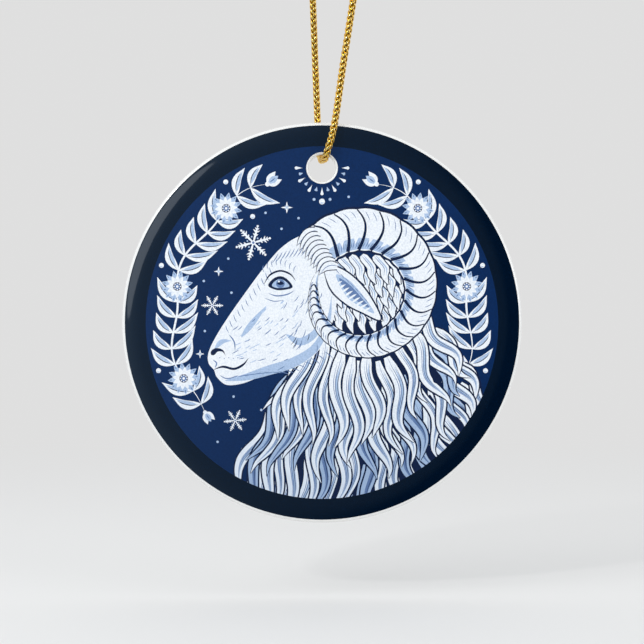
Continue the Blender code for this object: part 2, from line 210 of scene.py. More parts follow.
def stroke(points, half_width, steps=6):
    """A brush stroke along a smooth line; half_width gives its size at each share of the length."""
    line = smooth_line(points, steps)
    last = len(line) - 1
    left, right = [], []
    for i, (x, y) in enumerate(line):
        a, b = line[max(i - 1, 0)], line[min(i + 1, last)]
        run = math.dist(a, b)
        across = ((a[1] - b[1]) / run, (b[0] - a[0]) / run)
        wide = half_width(i / last)
        left.append((x + across[0] * wide, y + across[1] * wide))
        right.append((x - across[0] * wide, y - across[1] * wide))
    return left + right[::-1]


def leaf_width(widest, fat=0.8):
    return lambda t: widest * max(math.sin(math.pi * t**fat), 0.03)


def lock_width(widest):
    return lambda t: widest * max(math.sin(math.pi * min(0.9 * t + 0.18, 1.0)) ** 0.7, 0.03)


def line_width(widest):
    return lambda t: widest * min(1.0, 3 * t + 0.15, 3 * (1 - t) + 0.1)


def comma_width(widest):
    """A brush pressed down at the start and drawn away to a point."""
    def width(t):
        if t < 0.2:
            return widest * math.sqrt(max(1 - (1 - t / 0.2) ** 2, 0.002))
        return widest * max(((1 - t) / 0.8) ** 1.2, 0.03)
    return width


# Printed design: closed outlines in drawing units from the middle of the disc, each with its ink,
# the later ones over the earlier

FIELD, WHITE, PALE, MIDDLE, INK = "field", "white", "pale_blue", "middle_blue", "ink"
HEAD_AT = (-1.6, 1.0)
HAIR_SEED = 11
printed = []

# Wreath: the radius of its stems, each side with the angle at which its stem begins, the angle at
# which both end, and those of the flowers, in degrees up from the disc's middle
WREATH_RING = 28.0
WREATH_FEET = ((1, -19), (-1, -37))
WREATH_TOP = 68
FLOWER_ANGLES = (-22, 14, 50)


def lay(outline, ink):
    printed.append((outline, ink))


def on_head(points):
    return moved(points, *HEAD_AT)


def dot(x, y, radius, ink, sides=10):
    lay(circle(x, y, radius, sides), ink)


def head_line(points, half_width, ink, steps=6):
    lay(stroke(on_head(points), half_width, steps), ink)


def head_patch(points, ink):
    lay(smooth_line(on_head(points), 6, closed=True), ink)


def head_dot(x, y, radius, ink, sides=10):
    dot(*on_head([(x, y)])[0], radius, ink, sides)


def rosette(x, y, radius, petals, spin):
    """A flower of two rings of petals round a beaded heart."""
    for size, wide, ink, shift in ((1.0, 0.155, PALE, 0.0), (0.72, 0.13, WHITE, 0.5)):
        reach = radius * size
        for k in range(petals):
            angle = math.tau * (k + shift) / petals + spin
            line = [(0.12 * reach, 0), (0.55 * reach, 0), (reach, 0)]
            petal = stroke(line, leaf_width(wide * radius, 1.25), 5)
            lay(turned(petal, angle, (x, y)), ink)
            if ink == PALE:
                vein = stroke([(0.72 * reach, 0), (0.92 * reach, 0)], leaf_width(0.035 * radius), 3)
                lay(turned(vein, angle, (x, y)), MIDDLE)
    dot(x, y, 0.27 * radius, INK, 18)
    dot(x, y, 0.20 * radius, MIDDLE, 16)
    for bx, by in circle(x, y, 0.2 * radius, 8):
        dot(bx, by, 0.045 * radius, WHITE, 8)
    dot(x, y, 0.08 * radius, WHITE)


def leaf(root, tip, bow, wide):
    """A leaf from root to tip that bows to one side, with a shaded half and a vein."""
    dx, dy = tip[0] - root[0], tip[1] - root[1]
    run = math.hypot(dx, dy)
    across = (-dy / run, dx / run)

    def along(share, off):
        bend = bow * 3.8 * share * (1 - share) + off
        return (root[0] + dx * share + across[0] * bend, root[1] + dy * share + across[1] * bend)

    lay(stroke([root, along(0.5, 0.05 * bow), tip], leaf_width(wide, 0.85)), WHITE)
    side = -0.42 * wide if bow > 0 else 0.42 * wide
    shade = [along(t, side * math.sin(math.pi * t)) for t in (0.16, 0.4, 0.65, 0.88)]
    lay(stroke(shade, leaf_width(0.42 * wide), 4), PALE)
    lay(stroke([along(t, 0) for t in (0.08, 0.35, 0.62, 0.82)], line_width(0.075), 4), INK)


def berry(x, y, radius):
    dot(x, y, radius, WHITE, 16)
    lay(stroke(arc(x, y, radius * 0.55, 200, 340, 5), leaf_width(radius * 0.24), 3), PALE)


def snowflake(x, y, radius, spin):
    for k in range(6):
        angle = math.tau * k / 6 + spin
        arm = stroke([(0, 0), (0.5 * radius, 0), (radius, 0)], line_width(0.065 * radius), 2)
        lay(turned(arm, angle, (x, y)), WHITE)
        for at, reach in ((0.42, 0.2), (0.62, 0.26), (0.80, 0.16)):
            for twist in (-1, 1):
                twig = stroke([(0, 0), (reach * radius, 0)], line_width(0.045 * radius), 2)
                twig = moved(turned(twig, twist * math.pi / 3.4), at * radius, 0.0)
                lay(turned(twig, angle, (x, y)), WHITE)
        dot(*turned([(radius, 0)], angle, (x, y))[0], 0.07 * radius, WHITE, 8)
        dot(*turned([(0.36 * radius, 0)], angle + math.pi / 6, (x, y))[0], 0.05 * radius, PALE, 8)
    lay(turned(circle(0, 0, 0.16 * radius, 6), spin, (x, y)), WHITE)
    lay(turned(circle(0, 0, 0.08 * radius, 6), spin, (x, y)), MIDDLE)


def star(x, y, radius):
    for reach, wide, shift, ink in ((1.0, 0.16, 0.0, WHITE), (0.5, 0.12, 0.5, PALE)):
        for k in range(4):
            ray = stroke([(0, 0), (reach * radius, 0)], leaf_width(wide * radius, 0.6), 3)
            lay(turned(ray, math.tau * (k + shift) / 4, (x, y)), ink)


def bud(x, y, facing, size):
    """A bud of three petals on a small cup."""
    for way in (-1, 1):
        petal = stroke([(0, 0), (0.55, 0.26 * way), (1.15, 0.42 * way)], leaf_width(0.3), 5)
        lay(turned(petal, facing, (x, y), size), WHITE)
    heart = stroke([(0.05, 0), (0.6, 0), (1.1, 0)], leaf_width(0.27, 1.0), 5)
    lay(turned(heart, facing, (x, y), size), PALE)
    lay(turned(stroke([(0.25, 0), (0.8, 0)], line_width(0.05), 3), facing, (x, y), size), MIDDLE)
    lay(turned(circle(0, 0, 0.2, 10), facing, (x, y), size), WHITE)


def wreath():
    """A sprig of leaves, flowers and berries up each side of the field, the right one from the mane up."""
    for side, first in WREATH_FEET:
        def place(angle, off=0.0):
            turn = math.radians(angle)
            radius = WREATH_RING + off + 0.75 * math.sin(math.radians((angle - 14) * 10))
            return (side * radius * math.cos(turn), radius * math.sin(turn))

        stem = [place(angle) for angle in range(first, WREATH_TOP + 1, 3)]
        lay(stroke(stem, line_width(0.19), 2), WHITE)
        flowers = [angle for angle in FLOWER_ANGLES if angle > first]
        for angle in range(-34, 66, 6):
            if angle < first or min(abs(angle - flower) for flower in FLOWER_ANGLES) < 5.5:
                continue
            for way in (1, -1):
                tip = place(angle + (7.4 if way > 0 else 8.6), 3.9 * way)
                leaf(place(angle), tip, -0.8 * way * side, 0.84)
        for angle in flowers:
            rosette(*place(angle), 3.0, 12, math.radians(angle))
        berries = [(angle + 5.6, WREATH_RING + 4.0) for angle in FLOWER_ANGLES]
        berries.append((56.8, WREATH_RING - 4.2))
        for angle, ring in berries:
            turn = math.radians(angle)
            berry(side * ring * math.cos(turn), ring * math.sin(turn), 0.46)
        x, y = place(WREATH_TOP + 0.5)
        bud(x, y, math.atan2(y, x) + side * math.pi / 2 * 0.82, 2.3)
        if len(flowers) == len(FLOWER_ANGLES):
            x, y = place(first - 0.5)
            bud(x, y, math.atan2(y, x) - side * math.pi / 2 * 0.95, 1.9)


def hole_rays(hole_up):
    """Drops that fan out round the lower half of the hole."""
    inner = 3.65
    for k in range(13):
        reach, ink = (1.5, WHITE) if k % 2 == 0 else (0.85, PALE)
        drop = stroke([(inner + reach, 0), (inner + reach / 2, 0), (inner, 0)], comma_width(0.3), 5)
        lay(turned(drop, math.radians(180 + 15 * k), (0, hole_up)), ink)
    berry(0, hole_up - 6.3, 0.55)
    for x in (-1.5, 1.5):
        dot(x, hole_up - 5.9, 0.28, PALE)


def strand_width(widest):
    def width(t):
        if t < 0.12:
            return widest * (0.55 + 0.45 * t / 0.12)
        if t < 0.55:
            return widest
        return widest * max(1 - ((t - 0.55) / 0.45) ** 1.7, 0.02)
    return width


def strand(root, foot, start, end, phase, wide, ink):
    """One long wavy strand between two shares of the fall from root to foot, with its hairs."""
    fall = (foot[0] - root[0], foot[1] - root[1])
    far = math.hypot(*fall)
    across = (-fall[1] / far, fall[0] / far)
    line = []
    bends, sway = 9, 1.35
    for i in range(bends + 1):
        t = start + (end - start) * i / bends
        off = sway * (0.35 + 0.75 * i / bends) * math.sin(math.tau * (1.9 * t + phase))
        line.append((root[0] + fall[0] * t + across[0] * off, root[1] + fall[1] * t + across[1] * off))

    def beside(off):
        shift = [wide * off * (1 - 0.1 * k) for k in range(len(line))]
        return [(x + across[0] * d, y + across[1] * d) for (x, y), d in zip(line, shift)]

    body = strand_width(wide)
    lay(stroke(line, lambda t: body(t) + 0.3 * min(1, 4 * (1 - t) + 0.3), 4), INK)
    lay(stroke(line, body, 4), ink)
    shaded = PALE if ink == WHITE else MIDDLE
    lay(stroke(beside(0.5)[1:9], leaf_width(0.34 * wide, 1.0), 4), shaded)
    for off, width, hair, first, last in (
            (0.12, 0.07, MIDDLE, 0, 9), (-0.34, 0.06, MIDDLE, 1, 8), (0.74, 0.055, INK, 1, 8)):
        lay(stroke(beside(off)[first:last], line_width(width), 3), hair)


def hair_inside_horn(rng):
    for row in range(5):
        for k in range(7):
            x = 0.4 + 2.15 * k + 1.0 * (row % 2) + rng.uniform(-0.2, 0.2)
            y = 1.2 + 2.3 * row + rng.uniform(-0.2, 0.2)
            lean = rng.uniform(-0.3, 0.3)
            curl = [(x - 1.4, y + 2.2), (x - 0.5, y + 1.2), (x + 0.6 + lean, y - 0.1),
                    (x + 0.6 + lean, y - 1.6), (x + 1.3, y - 3.3)]
            lay(stroke(curl, lambda t: strand_width(0.8)(t) + 0.2, 5), INK)
            lay(stroke(curl, strand_width(0.8), 5), WHITE)
            lay(stroke(moved(curl[:4], 0.32, 0), line_width(0.12), 3), PALE)
            lay(stroke(moved(curl[:4], -0.1, 0), line_width(0.06), 3), MIDDLE)


def fleece(rng):
    """The neck, the hair inside the horn, and long strands in tiers, the lowest tier first."""
    neck = [
        (-4.6, -7.5), (-7.6, -12.0), (-10.4, -19.0), (-12.6, -26.0), (-13.6, -33.0), (2.4, -35.0),
        (20.4, -29.0), (27.0, -19.0), (23.6, -11.0), (20.4, -3.0), (17.4, 4.0), (10.4, 11.0),
        (0.4, 13.0), (-4.6, 5.0),
    ]
    lay(smooth_line(neck, 6, closed=True), INK)
    hair_inside_horn(rng)
    top = smooth_line([(-5.2, -6.5), (-1.6, -5.5), (4.4, -9), (11.4, -9.5), (17.4, -4), (20, 2)], 12)
    bottom = smooth_line([(-17.6, -32), (-8.6, -37), (4.4, -38), (16.4, -35), (26.4, -27), (32.4, -13)], 12)
    for tier, count, begin in ((3, 18, 0.58), (2, 19, 0.34), (1, 18, 0.10), (0, 17, -0.12)):
        for k in sorted(range(count), key=lambda number: number * 7 % 5):
            share = (k + 0.5 + 0.3 * (tier % 2) + rng.uniform(-0.18, 0.18)) / (count + 0.3)
            high = top[int(share * (len(top) - 1))]
            low = bottom[int(share * (len(bottom) - 1))]
            start = begin + rng.uniform(-0.04, 0.04)
            end = start + 0.62 + rng.uniform(-0.08, 0.08)
            phase = 0.09 * k + 0.16 * tier + rng.uniform(-0.05, 0.05)
            ink = PALE if tier > 0 and rng.random() < 0.3 else WHITE
            strand(high, low, start, end, phase, rng.uniform(0.78, 1.15), ink)
    # The dark neck shows between two strands at the mane's edge
    parting = [(20.8, -10.0), (21.7, -10.8), (22.3, -11.7)]
    lay(stroke(parting, leaf_width(0.8)), INK)


def ram_head(rng):
    """The head in profile, its soft shading, and the hair that models its forms."""
    outline = on_head([
        (1.5, 15.5), (-2.6, 15.2), (-6.2, 12.9), (-9.4, 9.2), (-12.8, 4.6), (-15.9, 0.2),
        (-18.3, -3.6), (-19.7, -6.6), (-19.7, -8.6), (-18.7, -9.9), (-18.1, -11.3), (-16.3, -12.7),
        (-13.2, -12.4), (-9.6, -11.0), (-6.2, -10.2), (-2.6, -9.0), (1.0, -6.2), (3.4, -1.5),
        (4.5, 4.0), (4.5, 10.0),
    ])
    lay(stroke(outline + outline[:1], lambda t: 0.32), INK)
    lay(smooth_line(outline, 8, closed=True), WHITE)
    for line, wide in (
        ([(-16.6, -11.9), (-12.5, -11.2), (-8.2, -9.9), (-3.8, -8.5), (0.4, -5.6), (2.8, -0.6),
          (3.4, 4.0)], 0.95),
        ([(-5.2, -3.2), (-2.4, -4.6), (0.6, -2.6), (2.0, 1.6)], 0.75),
        ([(-13.6, -3.8), (-11.4, -1.0), (-8.8, 2.2)], 0.55),
        ([(-18.6, -6.0), (-17.2, -4.6), (-15.4, -4.4)], 0.45),
    ):
        head_line(line, leaf_width(wide), PALE)
    cheek_and_brow_hair(rng)
    muzzle()
    eye()


def cheek_and_brow_hair(rng):
    def hair(x, y, reach, angle, curve, width, ink):
        end = (x + reach * math.cos(angle), y + reach * math.sin(angle))
        middle = ((x + end[0]) / 2 + curve, (y + end[1]) / 2)
        head_line([(x, y), middle, end], line_width(width), ink, 3)

    for k in range(15):
        t = k / 14
        y = -11.4 + 2.6 * t + 6.8 * max(t - 0.55, 0) ** 1.3
        angle = math.radians(20 - 60 * t) + rng.uniform(-0.1, 0.1)
        hair(-15.6 + 17.6 * t, y, 1.5 + 0.9 * rng.random(), angle, 0.15, 0.075, MIDDLE)
    for _ in range(26):
        u, v = rng.random(), rng.random()
        x, y = -3.4 + 5.4 * u, -5.4 + 11.4 * v
        reach, angle = 1.2 + rng.random(), math.radians(238 + 26 * u + 12 * rng.uniform(-1, 1))
        ink = MIDDLE if rng.random() < 0.7 else INK
        if y < 6.2 - 0.2 * x:
            hair(x, y, reach, angle, 0.12, 0.07, ink)
    for _ in range(60):
        u, v = rng.random(), rng.random()
        x = -14.2 + 11.5 * u
        low, high = -9.2 + 0.1 * u, -1.6 + 8.6 * u
        y = low + (high - low) * v
        reach = 0.9 + 0.9 * rng.random()
        angle = math.radians(222 + 22 * u - 34 * (1 - v) + 8 * rng.uniform(-1, 1))
        ink = PALE if rng.random() < 0.6 else MIDDLE
        if (x + 6.2) ** 2 / 12 + (y - 6.0) ** 2 / 6 > 1:
            hair(x, y, reach, angle, 0.1, 0.075, ink)
    for k in range(12):
        t = k / 11
        hair(-8.3 - 8.2 * t, 9.4 - 10.9 * t, 1.62, math.radians(-67), -0.1, 0.07, MIDDLE)
    for k in range(9):
        t = k / 8
        hair(-6.6 + 6.2 * t, 12.0 + 2.3 * t - 0.9 * t * t, 2.25, math.radians(238), 0.1, 0.08, MIDDLE)


def muzzle():
    for line, width, ink in (
        ([(-19.2, -7.1), (-18.3, -6.2), (-17.1, -6.3), (-16.5, -7.2)], comma_width(0.5), INK),
        ([(-18.9, -8.0), (-18.2, -8.6), (-18.5, -9.6)], line_width(0.12), MIDDLE),
        ([(-18.75, -9.85), (-17.0, -9.3), (-14.9, -9.7), (-13.2, -8.9), (-12.2, -7.7)],
         line_width(0.22), INK),
        ([(-17.6, -10.9), (-16.4, -11.5), (-14.9, -11.3)], line_width(0.1), MIDDLE),
        ([(-15.9, -3.2), (-14.9, -4.6), (-14.7, -6.4)], line_width(0.12), MIDDLE),
    ):
        head_line(line, width, ink)
    for k in range(6):
        head_dot(-17.6 + 0.85 * k, -7.6 - 0.15 * (k % 2), 0.1, MIDDLE, 6)


def eye():
    lid = [(-8.5, 5.9), (-7.6, 7.2), (-6.2, 7.7), (-4.9, 7.1), (-3.9, 5.7), (-5.1, 5.2), (-6.9, 5.1)]
    ball = [(-7.8, 5.95), (-7.2, 6.8), (-6.2, 7.15), (-5.2, 6.7), (-4.5, 5.85), (-5.4, 5.55), (-6.9, 5.5)]
    head_patch(lid, INK)
    head_patch(ball, PALE)
    head_dot(-6.2, 6.3, 0.82, MIDDLE, 18)
    head_line([(-6.9, 6.25), (-6.2, 6.4), (-5.5, 6.25)], leaf_width(0.36, 1.0), INK, 5)
    head_dot(-6.5, 6.72, 0.19, WHITE)
    head_line([(-7.9, 6.9), (-6.2, 7.45), (-4.8, 6.8)], leaf_width(0.2), INK, 5)
    for line, width, ink in (
        ([(-9.3, 6.2), (-8.2, 7.9), (-6.3, 8.7), (-4.4, 8.1), (-3.3, 6.8)], 0.17, INK),
        ([(-8.5, 4.5), (-6.9, 4.0), (-4.9, 4.3), (-3.6, 5.0)], 0.12, MIDDLE),
        ([(-9.2, 3.6), (-7.4, 3.0), (-5.6, 3.2)], 0.08, MIDDLE),
    ):
        head_line(line, line_width(width), ink)
    for k in range(8):
        t = k / 7
        x, y = -9.3 + 5.6 * t, 8.4 + 1.3 * math.sin(math.pi * t)
        brow = [(x, y), (x - 0.25 + 0.3 * t, y + 0.75), (x - 0.1 + 0.6 * t, y + 1.4)]
        head_line(brow, line_width(0.07), MIDDLE, 3)


def ear():
    """A long ear that points back and down out of the hair behind the cheek."""
    rim = [(2.0, 9.6), (4.4, 9.4), (7.4, 7.6), (10.4, 4.2), (12.6, -0.4), (9.2, 0.9), (6.0, 2.6), (3.2, 5.4)]
    head_line(rim + rim[:1], lambda t: 0.3, INK)
    head_patch(rim, WHITE)
    inside = [(4.2, 7.9), (6.6, 7.0), (9.2, 4.2), (11.4, 0.8), (8.8, 2.0), (6.2, 3.9)]
    head_patch(inside, PALE)
    deep = [(4.8, 7.3), (6.8, 6.1), (9.0, 3.7), (10.6, 1.7), (8.2, 3.0), (6.2, 4.6)]
    head_patch(deep, MIDDLE)
    for k in range(9):
        t = k / 8
        x, y = 4.6 + 5.4 * t, 7.9 - 5.4 * t
        tuft = [(x - 0.9, y - 2.3 + 0.7 * t), (x + 0.1, y - 1.5 + 0.5 * t), (x + 0.8, y - 1.1 + 0.5 * t)]
        head_line(tuft, leaf_width(0.2), WHITE, 4)
    for k in range(7):
        t = k / 6
        x, y = 4.0 + 5.4 * t, 9.0 - 4.6 * t - 0.8 * t * t
        head_line([(x, y), (x + 0.55, y - 0.45), (x + 0.9, y - 1.0)], line_width(0.06), MIDDLE, 3)


def horn(rng):
    """A full curl that tapers round its own middle, swelling a little between its ridges."""
    middle, stations = (7.0, 5.4), 120
    line, half = [], []
    for i in range(stations + 1):
        t = i / stations
        angle = math.radians(128 - 338 * t)
        radius = 11.6 + 0.9 * math.sin(math.pi * min(2 * t, 1.0)) - 3.6 * t**1.6 + 8 * max(t - 0.9, 0.0)
        line.append((middle[0] + radius * math.cos(angle), middle[1] + radius * math.sin(angle)))
        half.append(3.7 * (1 - t) ** 0.62 * (1 + 0.12 * math.sin(math.pi * min(t / 0.35, 1.0))))
    ridges = [0.016]
    while ridges[-1] < 0.92:
        ridges.append(ridges[-1] + 0.043 * (1 - ridges[-1]) ** 0.35 + 0.004)

    def on_horn(t, side):
        """A point at a share of the horn's length, side being -1 at its inner edge and 1 at its outer."""
        k = min(int(t * stations), stations - 1)
        share = t * stations - k
        a, b = line[k], line[k + 1]
        run = math.dist(a, b)
        wide = (half[k] + (half[k + 1] - half[k]) * share) * side
        return (a[0] + (b[0] - a[0]) * share - (b[1] - a[1]) / run * wide,
                a[1] + (b[1] - a[1]) * share + (b[0] - a[0]) / run * wide)

    def across(t, sides):
        return [on_horn(min(max(t + 0.02 * (1 - side * side), 0.0), 1.0), side) for side in sides]

    def edge(side, grow):
        rim = []
        for k in range(stations):
            t = k / stations
            before = max([ridge for ridge in ridges if ridge <= t], default=0.0)
            after = min([ridge for ridge in ridges if ridge > t], default=1.0)
            swell = 0.055 * math.sin(math.pi * (t - before) / (after - before))
            rim.append(on_horn(t, side * (grow + swell)))
        return rim

    tip = on_horn(1.0, 0)
    past_tip = tuple(2 * a - b for a, b in zip(tip, line[-3]))
    lay(edge(1, 1.12) + [past_tip] + edge(-1, 1.12)[::-1], INK)
    lay(edge(1, 1.0) + [tip] + edge(-1, 1.0)[::-1], WHITE)
    shares = [k / stations for k in range(stations - 1)]
    lay([on_horn(t, -0.42) for t in shares] + [on_horn(t, -0.98) for t in shares[::-1]], PALE)
    for t, after in zip(ridges, ridges[1:] + [ridges[-1] + 0.02]):
        scallop = across((t + after) / 2, (0.2, -0.2, -0.5, -0.72))
        lay(stroke(scallop, leaf_width(0.42 * (1 - t) + 0.1, 0.6), 4), WHITE)
        for off in (0.22, 0.42, 0.62, 0.80):
            reach = -0.45 - 0.25 * rng.random()
            hatch = across(t + (after - t) * off, (-0.92, (reach - 0.92) / 2, reach))
            lay(stroke(hatch, line_width(0.075), 3), MIDDLE)
        for off in (0.3, 0.66):
            reach = 0.55 - 0.2 * rng.random()
            hatch = across(t + (after - t) * off, (0.93, (reach + 0.93) / 2, reach))
            lay(stroke(hatch, line_width(0.06), 3), MIDDLE)
        ridge = across(t, (-1.0, -0.66, -0.33, 0.0, 0.33, 0.66, 1.0))
        heavy = 0.30 * (1 - 0.55 * t)
        lay(stroke(ridge, lambda u: heavy * (1.2 - 0.75 * u), 3), INK)


def forelock():
    """Tufts of the brow that lap over the foot of the horn."""
    for k in range(9):
        t = k / 8
        x, y = -1.9 + 4.1 * t, 15.3 - 5.6 * t
        tuft = on_head([(x + 2.3, y - 0.2 + 1.2 * (1 - t)), (x + 1.0, y + 0.6 * (1 - t)),
                        (x - 0.2, y - 0.5), (x - 1.4, y - 2.0 - 0.3 * (k % 2))])
        lay(stroke(tuft, lambda u: lock_width(0.78)(u) + 0.18 * min(1, 5 * (1 - u)), 4), INK)
        lay(stroke(tuft, lock_width(0.78), 4), WHITE)
        lay(stroke(moved(tuft, 0.2, 0.05), line_width(0.07), 3), MIDDLE)


def winter_sky():
    for x, y, radius, spin in ((-12.9, 15.0, 3.2, 0.26), (-20.6, 3.2, 1.9, 0.0), (-16.3, -18.4, 2.0, 0.1)):
        snowflake(x, y, radius, spin)
    for x, y, radius in (
        (-6.6, 21.6, 1.1), (-19.4, 9.6, 0.9), (-22.9, -5.9, 0.8), (-14.4, -23.6, 0.8),
    ):
        star(x, y, radius)
    for x, y in (
        (-4.4, 19.6), (-10.6, 20.6), (-17.6, 12.0), (-17.0, 5.6), (-22.0, -1.6), (-22.2, 7.8),
        (-16.6, -13.9), (-11.4, -16.4), (-12.2, 22.6), (-7.6, 17.6), (5.0, 23.6), (-19.6, -22.4),
    ):
        dot(x, y, 0.24, PALE)


def draw_design(hole_up):
    rng = random.Random(HAIR_SEED)
    wreath()
    hole_rays(hole_up)
    winter_sky()
    fleece(rng)
    ram_head(rng)
    ear()
    horn(rng)
    forelock()


# Modelling helpers


def deselect_all():
    bpy.ops.object.select_all(action="DESELECT")


def only(piece):
    """Makes one object the selected and active one."""
    deselect_all()
    piece.select_set(True)
    bpy.context.view_layer.objects.active = piece


def named(name):
    piece = bpy.context.object
    piece.name = name
    piece.data.name = name
    return piece


def settle(piece):
    """Moves the object's place into its mesh."""
    only(piece)
    bpy.ops.object.transform_apply(location=True, rotation=True, scale=True)


def select_only(mesh, kind, wanted):
    """In edit mode, selects the faces or edges that wanted() accepts, and nothing else."""
    shape = bmesh.from_edit_mesh(mesh)
    for part in [*shape.faces, *shape.edges]:
        part.select_set(False)
    for part in getattr(shape, kind):
        if wanted(part):
            part.select_set(True)
    bmesh.update_edit_mesh(mesh)


def apply_modifier(piece, modifier):
    only(piece)
    bpy.ops.object.modifier_apply(modifier=modifier.name)


def made_of(piece, material):
    piece.data.materials.clear()
    piece.data.materials.append(material)
    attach(piece, "root")


def added(name, data):
    """A new object in the scene."""
    thing = bpy.data.objects.new(name, data)
    bpy.context.collection.objects.link(thing)
    return thing


def piece_from(name, shape):
    """A new object from a bmesh."""
    mesh = bpy.data.meshes.new(name)
    shape.to_mesh(mesh)
    shape.free()
    return added(name, mesh)


# Finishes


def new_finish(name):
    material = bpy.data.materials.new(name)
    material.use_nodes = True
    tree = material.node_tree
    return material, tree, tree.nodes["Principled BSDF"]


def plug(tree, sockets, values):
    """Sets each socket to its value, or links it where the value is a socket."""
    for socket, value in zip(sockets, values):
        if isinstance(value, bpy.types.NodeSocket):
            tree.links.new(value, socket)
        elif socket.type == "RGBA":
            socket.default_value = (*value, 1.0)
        else:
            socket.default_value = value


def feed(tree, node, **inputs):
    """Plugs a node's inputs by their names, with _ for each space."""
    plug(tree, [node.inputs[name.replace("_", " ")] for name in inputs], inputs.values())


def linked(tree, kind, **inputs):
    """A new node with its inputs fed."""
    node = tree.nodes.new(kind)
    feed(tree, node, **inputs)
    return node


def combined(tree, kind, operation, *values):
    """A new Math or Vector Math node."""
    node = tree.nodes.new(kind)
    node.operation = operation
    plug(tree, node.inputs, values)
    return node


def mixed_shader(tree, share, one, other):
    node = tree.nodes.new("ShaderNodeMixShader")
    plug(tree, node.inputs, (share, one.outputs[0], other.outputs[0]))
    return node


def place_of(tree):
    return tree.nodes.new("ShaderNodeTexCoord").outputs["Object"]


def blend_colours(tree, share, one, other):
    mix = tree.nodes.new("ShaderNodeMix")
    mix.data_type = "RGBA"
    plug(tree, (mix.inputs[0], mix.inputs[6], mix.inputs[7]), (share, one, other))
    return mix.outputs[2]


def ranged(tree, value, low, high, to_low, to_high):
    node = linked(tree, "ShaderNodeMapRange", Value=value, From_Min=low, From_Max=high,
                  To_Min=to_low, To_Max=to_high)
    return node.outputs["Result"]


def noise(tree, place, scale, detail):
    return linked(tree, "ShaderNodeTexNoise", Vector=place, Scale=scale, Detail=detail).outputs[0]


def bumped(tree, height, depth):
    return linked(tree, "ShaderNodeBump", Height=height, Strength=0.6, Distance=depth).outputs[0]


def glaze_over(tree, shader, roughness, depth):
    """A clear glaze with the faint unevenness that firing gives it."""
    ripple = bumped(tree, noise(tree, place_of(tree), 260.0, 1.0), depth)
    feed(tree, shader, Coat_Weight=1.0, Coat_Roughness=roughness, Normal=ripple, Coat_Normal=ripple)


def white_glaze():
    material, tree, shader = new_finish("white_glaze")
    share = ranged(tree, noise(tree, place_of(tree), 70.0, 3.0), 0.3, 0.7, 0.0, 1.0)
    body = blend_colours(tree, share, (0.785, 0.79, 0.785), (0.81, 0.81, 0.795))
    feed(tree, shader, Base_Color=body, Roughness=0.22)
    glaze_over(tree, shader, 0.06, 0.012 * MM)
    return material


def ink_finish(name, colour, painted_shade_colour, grain):
    """An ink fired under the glaze, with painted shade that darkens it towards the foot of the disc."""
    material, tree, shader = new_finish(name)
    place = place_of(tree)
    height = linked(tree, "ShaderNodeSeparateXYZ", Vector=place).outputs["Z"]
    # Painted shade: the ink turns to its darker second colour towards the foot of the disc
    fade = ranged(tree, height, disc_z - 0.95 * field_radius, disc_z - 0.25 * field_radius, 1.0, 0.0)
    base = blend_colours(tree, fade, colour, painted_shade_colour)
    speck = ranged(tree, noise(tree, place, 3800.0, 2.0), 0.35, 0.7, 0.0, 0.55)
    grained = blend_colours(tree, speck, base, tuple(value * (1.0 - grain) for value in painted_shade_colour))
    cloud = ranged(tree, noise(tree, place, 160.0, 2.0), 0.3, 0.75, 0.0, 0.35)
    clouded = blend_colours(tree, cloud, grained, tuple(value * (1 - grain / 2) for value in colour))
    feed(tree, shader, Base_Color=clouded, Roughness=0.5, Specular_IOR_Level=0.0)
    glaze_over(tree, shader, 0.05, 0.010 * MM)
    return material


def gold_thread():
    """Metal-wrapped thread, with painted light on the backs of the strands and painted shade in deep brown
    down between them.
    """
    material, tree, shader = new_finish("gold_thread")
    run = tree.nodes.new("ShaderNodeUVMap")
    run.uv_map = "along_strand"
    depth = tree.nodes.new("ShaderNodeAttribute")
    depth.attribute_name = "depth"
    # Painted shade and light: the colour turns deep brown where a strand lies deep in the cord, and lighter
    # on the strands' backs
    painted_shade_mask = ranged(tree, depth.outputs["Fac"], 0.68, 0.88, 0.0, 1.0)
    painted_light_mask = ranged(tree, depth.outputs["Fac"], 0.82, 1.00, 0.0, 1.0)
    stretched = linked(tree, "ShaderNodeMapping", Vector=run.outputs[0], Scale=(5.0, 9.0, 1.0))
    # Painted glints: where this noise is high the strands' backs take a pale, near-white colour, and they
    # are smoother there
    glint = noise(tree, stretched.outputs[0], 1.0, 3.0)
    share = ranged(tree, glint, 0.46, 0.60, 0.0, 1.0)
    top = blend_colours(tree, share, (1.0, 0.60, 0.015), (1.0, 0.91, 0.58))
    side = blend_colours(tree, painted_shade_mask, (0.12, 0.028, 0.0005), (0.82, 0.38, 0.002))
    winding = linked(tree, "ShaderNodeMapping", Vector=run.outputs[0], Scale=(12.0, 4.0, 1.0))
    wraps = bumped(tree, noise(tree, winding.outputs[0], 1.0, 1.0), 0.03 * MM)
    feed(tree, shader, Base_Color=blend_colours(tree, painted_light_mask, side, top), Metallic=1.0,
         Roughness=ranged(tree, glint, 0.35, 0.62, 0.32, 0.10), Normal=wraps)
    return material


# Disc


def from_middle(point):
    """How far a point is from the disc's axis."""
    return math.hypot(point.x - disc_x, point.z - disc_z)


def from_hole(point):
    return math.hypot(point.x - disc_x, point.z - hole_z)


